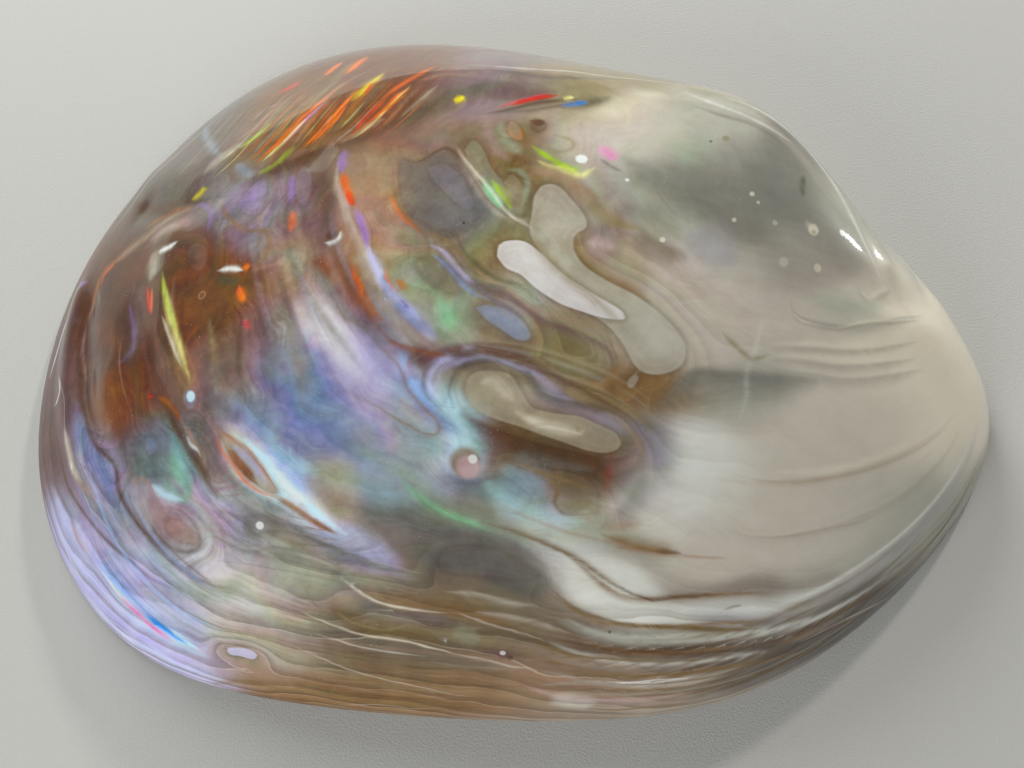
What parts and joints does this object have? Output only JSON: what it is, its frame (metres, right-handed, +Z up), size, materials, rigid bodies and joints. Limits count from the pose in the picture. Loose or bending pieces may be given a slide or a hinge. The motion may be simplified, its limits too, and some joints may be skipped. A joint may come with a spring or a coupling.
{
  "type": "pearl oyster shell",
  "caption": "Single polished pearl shell valve: a thin domed half shell, ridged outside, smooth and hollow below, that rests on its flat rim.",
  "frame": {"origin": "middle of the outline on the table plane under the rim", "axes": "+Z up out of the domed side, +X along the length towards the beak end, +Y towards the hinge edge"},
  "size_m": [0.1504, 0.1222, 0.0356],
  "materials": {
    "nacre": "polished, pearly"
  },
  "bodies": {
    "root": {"valve": "nacre"}
  },
  "joints": []
}
